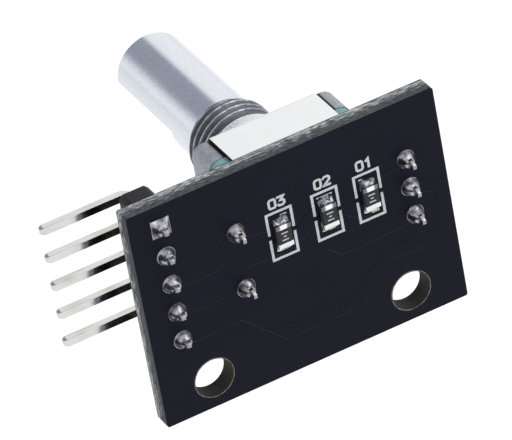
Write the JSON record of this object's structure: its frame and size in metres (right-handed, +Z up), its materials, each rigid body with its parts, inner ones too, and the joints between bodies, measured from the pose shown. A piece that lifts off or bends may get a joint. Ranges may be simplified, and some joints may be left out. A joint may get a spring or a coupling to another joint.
{
  "type": "rotary encoder",
  "caption": "Push-button rotary encoder with a D-cut shaft and threaded bushing, soldered to a small circuit board with a bent pin header.",
  "frame": {"origin": "on the shaft axis, in the plane of the encoder's front face, which seats against a panel", "axes": "+Y from the knob end back through the board, +X towards the pin header, +Z up, away from the two mounting holes"},
  "size_m": [0.0306, 0.0297, 0.0191],
  "materials": {
    "laminate": "cut glass-epoxy edge",
    "copper": "etched copper foil",
    "solder_mask": "satin black lacquer",
    "legend_ink": "printed white ink",
    "header_plastic": "moulded black plastic",
    "pin_plating": "bright tin plate over brass",
    "solder": "bright reflowed tin",
    "resistor_glaze": "glazed ceramic",
    "resistor_cap": "tin-plated end cap",
    "strap_steel": "bright plated sheet steel",
    "die_cast_zinc": "as-cast zinc alloy, machined thread",
    "base_plastic": "moulded teal plastic",
    "switch_plastic": "moulded black plastic",
    "spring_steel": "rolled spring steel",
    "spring_bronze": "rolled phosphor bronze",
    "rotor_plastic": "moulded natural acetal",
    "plated_contact": "silver-plated brass",
    "shaft_aluminium": "turned satin",
    "plunger_plastic": "moulded natural acetal"
  },
  "bodies": {
    "module": {"circuit_board": "laminate", "copper_layers": "copper", "solder_mask_back": "solder_mask", "solder_mask_front": "solder_mask", "printed_legend": "legend_ink", "header_insulator": "header_plastic", "header_solder": "solder", "encoder_solder": "solder", "resistor_solder": "solder", "mounting_strap": "strap_steel", "bushing_housing": "die_cast_zinc", "terminal_base": "base_plastic", "switch_base": "switch_plastic", "switch_dome": "spring_steel", "click_spring": "spring_bronze", "header_pin_1": "pin_plating", "header_pin_2": "pin_plating", "header_pin_3": "pin_plating", "header_pin_4": "pin_plating", "header_pin_5": "pin_plating", "resistor_1_body": "resistor_glaze", "resistor_1_caps": "resistor_cap", "resistor_2_body": "resistor_glaze", "resistor_2_caps": "resistor_cap", "resistor_3_body": "resistor_glaze", "resistor_3_caps": "resistor_cap", "terminal_a": "plated_contact", "terminal_common": "plated_contact", "terminal_b": "plated_contact", "switch_rim_terminal": "plated_contact", "switch_centre_terminal": "plated_contact"},
    "rotor": {"rotor": "rotor_plastic", "code_disc": "plated_contact"},
    "shaft": {"shaft": "shaft_aluminium", "retaining_ring": "spring_steel"},
    "plunger": {"switch_plunger": "plunger_plastic"}
  },
  "joints": [
    {"name": "shaft_turn", "type": "hinge", "parent": "module", "child": "rotor", "pos_m": [0, 0, 0], "axis": [0, 1, 0], "continuous": true, "deforming": ["click_spring"]},
    {"name": "shaft_push", "type": "slide", "parent": "rotor", "child": "shaft", "axis": [0, 1, 0], "range_m": [0, 0.0005], "stiffness_N_per_m": 8000},
    {"name": "plunger_push", "type": "slide", "parent": "module", "child": "plunger", "axis": [0, 1, 0], "range_m": [0, 0.0005], "deforming": ["switch_dome"]}
  ],
  "couplings": [
    {"joint": "plunger_push", "follows": "shaft_push", "ratio": 1}
  ]
}
